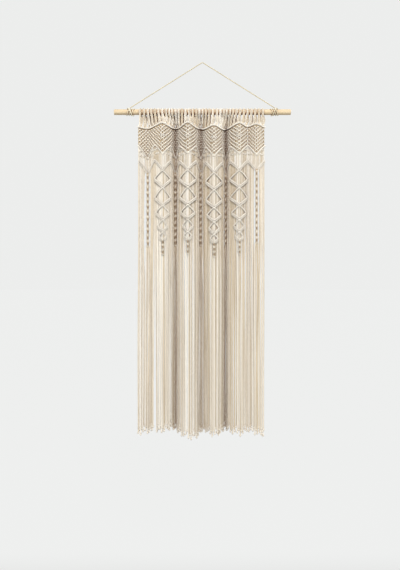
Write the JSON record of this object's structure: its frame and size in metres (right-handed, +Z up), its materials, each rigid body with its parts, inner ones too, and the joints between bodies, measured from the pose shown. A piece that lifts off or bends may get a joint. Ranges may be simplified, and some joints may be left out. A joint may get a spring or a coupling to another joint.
{
  "type": "macrame curtain on a wooden dowel",
  "caption": "Natural cotton macrame curtain knotted over a plain wooden dowel, hung by a cord from one point, with a leaf-patterned panel, diamond and spiral columns and a long straight fringe.",
  "frame": {"origin": "the hang point, under the bend of the hanging cord, where a hook or nail in the wall holds it", "axes": "+Z up, +X to the viewer's right along the dowel, +Y through the cloth from its face to its back, so the face looks along -Y"},
  "size_m": [0.9, 0.1026, 1.9162],
  "materials": {
    "cotton": "matt twisted cotton cord in its natural cream colour",
    "pale_wood": "sanded pale wood, unvarnished, with a fine straight grain",
    "twine": "matt beige cotton twine"
  },
  "bodies": {
    "root": {"dowel": "pale_wood", "hanging_cord": "twine", "hitch_left": "twine", "hitch_right": "twine", "knotted_panel": "cotton", "spiral_column_1": "cotton", "diamond_column_2": "cotton", "spiral_column_3": "cotton", "diamond_column_4": "cotton", "spiral_column_5": "cotton", "diamond_column_6": "cotton", "spiral_column_7": "cotton", "diamond_column_8": "cotton", "spiral_column_9": "cotton"}
  },
  "joints": []
}
